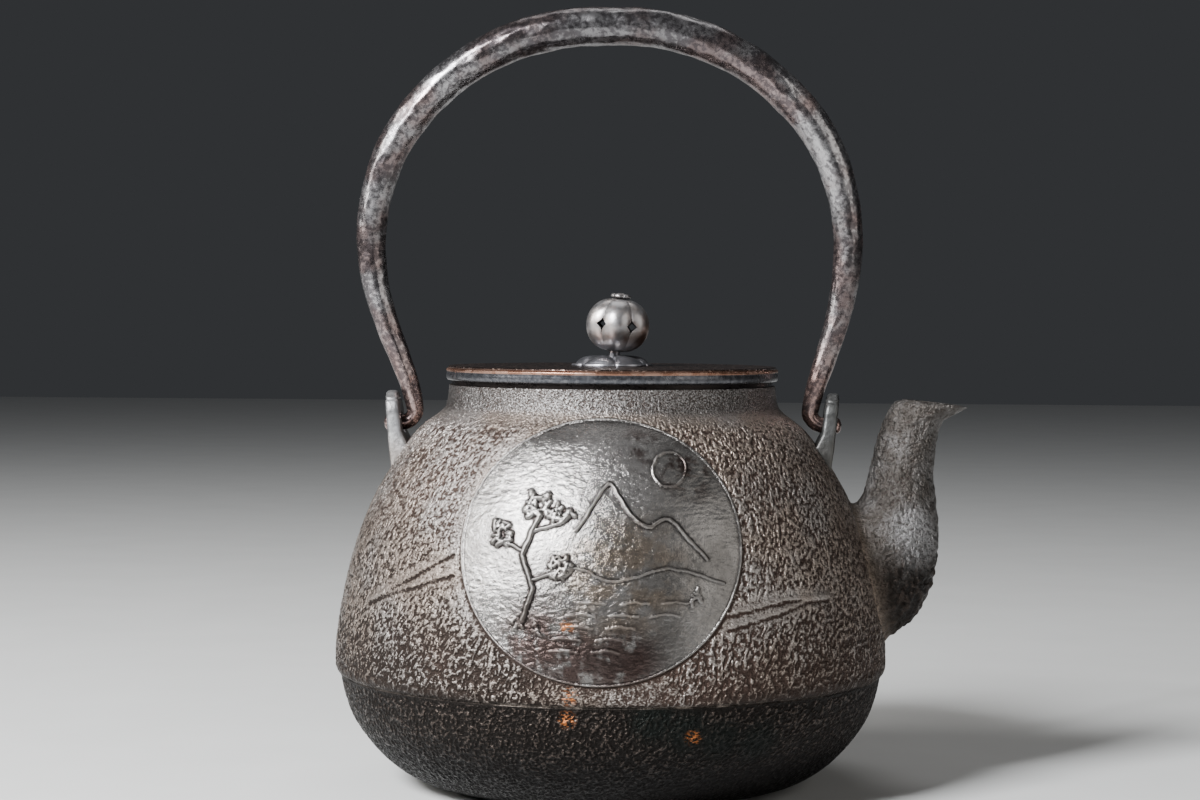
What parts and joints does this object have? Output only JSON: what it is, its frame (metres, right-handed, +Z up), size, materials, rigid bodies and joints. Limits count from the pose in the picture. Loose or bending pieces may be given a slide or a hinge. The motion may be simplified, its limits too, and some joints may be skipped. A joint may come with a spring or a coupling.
{
  "type": "cast iron kettle",
  "caption": "Round cast iron kettle with a wide spout, an upright swinging bail handle and a lift-off lid with a turning pierced knob.",
  "frame": {"origin": "centre of the flat base, on the axis of the body", "axes": "+Z up along the body's axis, +X towards the spout, -Y towards the side with the cast picture"},
  "size_m": [0.1718, 0.15, 0.212],
  "materials": {
    "cast_iron": "bare cast iron, pebbled skin, brown-grey patina",
    "ear_iron": "bare iron, smoother, grey",
    "forged_iron": "forged iron, mottled red-brown and blue-black, semi-gloss",
    "bronze": "dark patinated bronze, speckled, coppery rim",
    "silvered_brass": "silvered brass, tarnished, semi-gloss"
  },
  "bodies": {
    "kettle": {"kettle_body": "cast_iron", "spout": "cast_iron", "ear_left": "ear_iron", "ear_right": "ear_iron"},
    "handle": {"handle": "forged_iron"},
    "lid": {"lid_plate": "bronze", "lid_collar": "bronze", "knob_seat": "silvered_brass"},
    "knob": {"knob_shell": "silvered_brass", "knob_flower": "silvered_brass", "knob_pin": "silvered_brass", "pin_washer": "silvered_brass"}
  },
  "joints": [
    {"name": "handle_swing", "type": "hinge", "parent": "kettle", "child": "handle", "pos_m": [0, 0, 0.0982], "axis": [1, 0, 0], "range_deg": [-85, 85]},
    {"name": "lid_lift", "type": "slide", "parent": "kettle", "child": "lid", "axis": [0, 0, 1], "range_m": [0, 0.05]},
    {"name": "knob_turn", "type": "hinge", "parent": "lid", "child": "knob", "pos_m": [0, 0, 0.1125], "axis": [0.1132, 0, 0.9936], "continuous": true}
  ]
}
